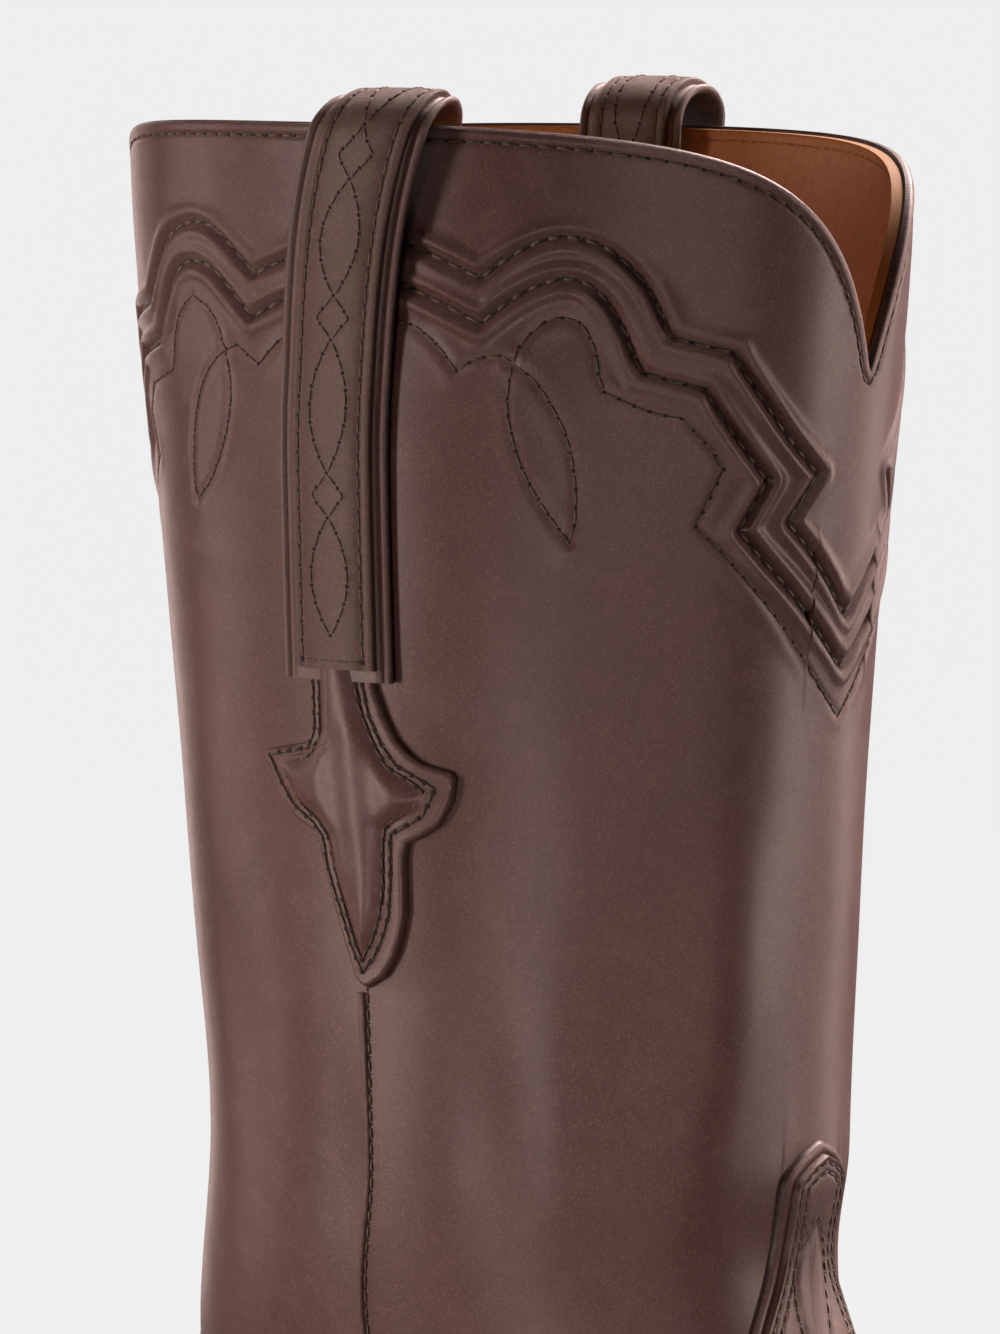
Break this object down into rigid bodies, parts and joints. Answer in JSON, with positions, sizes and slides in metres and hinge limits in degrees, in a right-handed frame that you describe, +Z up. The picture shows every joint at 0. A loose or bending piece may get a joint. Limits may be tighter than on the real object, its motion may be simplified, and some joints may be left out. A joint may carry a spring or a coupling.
{
  "type": "western boot",
  "caption": "Pull-on western boot with a scalloped tall shaft, decorative stitching, sewn pull straps, a pointed vamp, welted leather sole and stacked heel.",
  "frame": {"origin": "on the floor, under the middle of the boot's bounding box", "axes": "+X from heel to toe, +Y to the inner (medial) side of this right boot, +Z up"},
  "size_m": [0.2986, 0.1102, 0.3489],
  "materials": {
    "calf": "satin milled dark brown calf",
    "strap": "satin dark brown strap leather",
    "lining": "matt natural tan lining leather",
    "board": "bonded stiffener leather",
    "edge": "burnished dark sole-leather edge",
    "sole": "vegetable-tanned sole leather",
    "cork": "pressed cork",
    "steel": "plain steel",
    "rubber": "moulded black heel rubber"
  },
  "bodies": {
    "boot": {"shaft_front": "calf", "shaft_back": "calf", "lining_front": "lining", "lining_back": "lining", "vamp": "calf", "vamp_lining": "lining", "heel_counter_cover": "calf", "heel_stiffener": "board", "toe_puff": "board", "side_welt_lateral": "calf", "side_welt_medial": "calf", "tail_under_lateral": "calf", "tail_top_lateral": "calf", "tail_under_medial": "calf", "tail_top_medial": "calf", "insole": "sole", "sock_lining": "lining", "welt": "edge", "heel_seat_rand": "edge", "cork_filler": "cork", "shank": "steel", "outsole": "sole", "heel_cap": "rubber", "heel_lift_1": "edge", "heel_lift_2": "edge", "heel_lift_3": "edge", "heel_lift_4": "edge", "heel_lift_5": "edge", "heel_nail_1": "steel", "heel_nail_2": "steel", "heel_nail_3": "steel", "heel_nail_4": "steel", "heel_nail_5": "steel"},
    "strap_lateral": {"strap_band_lateral": "strap", "strap_facing_lateral": "strap"},
    "strap_medial": {"strap_band_medial": "strap", "strap_facing_medial": "strap"}
  },
  "joints": [
    {"name": "strap_lateral_lift", "type": "slide", "parent": "boot", "child": "strap_lateral", "axis": [-0.01, -0.02, 0.9997], "range_m": [0, 0.006]},
    {"name": "strap_medial_lift", "type": "slide", "parent": "boot", "child": "strap_medial", "axis": [-0.01, 0.02, 0.9997], "range_m": [0, 0.006]}
  ]
}
